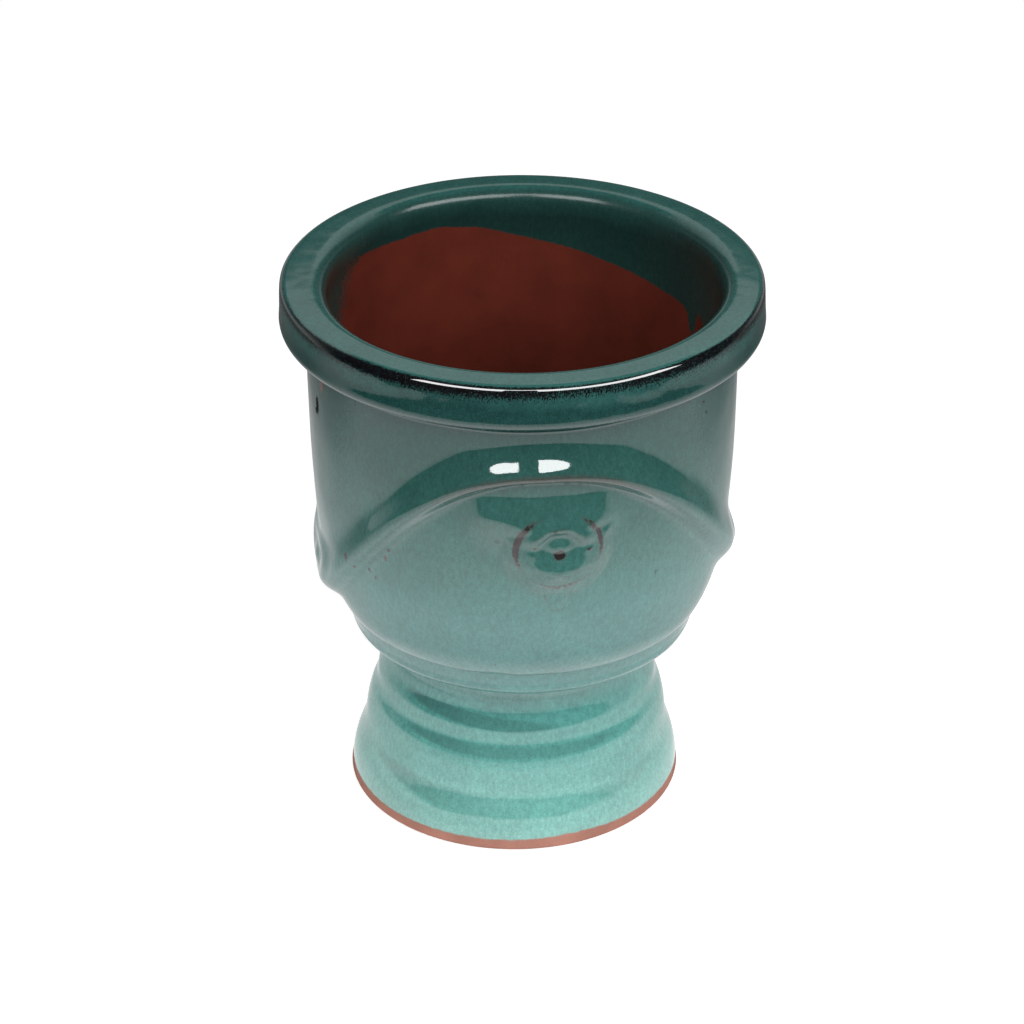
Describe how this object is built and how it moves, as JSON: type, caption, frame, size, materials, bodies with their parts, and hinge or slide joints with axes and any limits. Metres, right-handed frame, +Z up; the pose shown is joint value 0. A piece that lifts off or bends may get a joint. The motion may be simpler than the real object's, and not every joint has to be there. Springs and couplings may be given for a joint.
{
  "type": "urn planter",
  "caption": "Glazed clay urn planter with a rolled rim, garland and rosette relief on its wall, a waist collar and a flared hollow foot.",
  "frame": {"origin": "centre of the foot ring's underside, on the ground", "axes": "+Z up along the urn's axis; the front rosette faces -Y and the swags lie at -X and +X"},
  "size_m": [0.32, 0.32, 0.379],
  "materials": {
    "glaze_rim": "glossy dark teal glaze, breaking near-black along the shoulder",
    "glaze_body": "glossy mottled grey-teal glaze, breaking brown on the relief; bare red-brown clay inside",
    "glaze_foot": "glossy pale aqua glaze, with a bare salmon clay ring at the ground"
  },
  "bodies": {
    "root": {"bowl": "glaze_body", "rim": "glaze_rim", "collar": "glaze_body", "foot": "glaze_foot", "garland_front": "glaze_body", "garland_back": "glaze_body", "drape_front": "glaze_body", "drape_back": "glaze_body", "swag_left": "glaze_body", "swag_right": "glaze_body", "rosette_front": "glaze_body", "rosette_back": "glaze_body", "pendant_front": "glaze_body", "pendant_back": "glaze_body"}
  },
  "joints": []
}
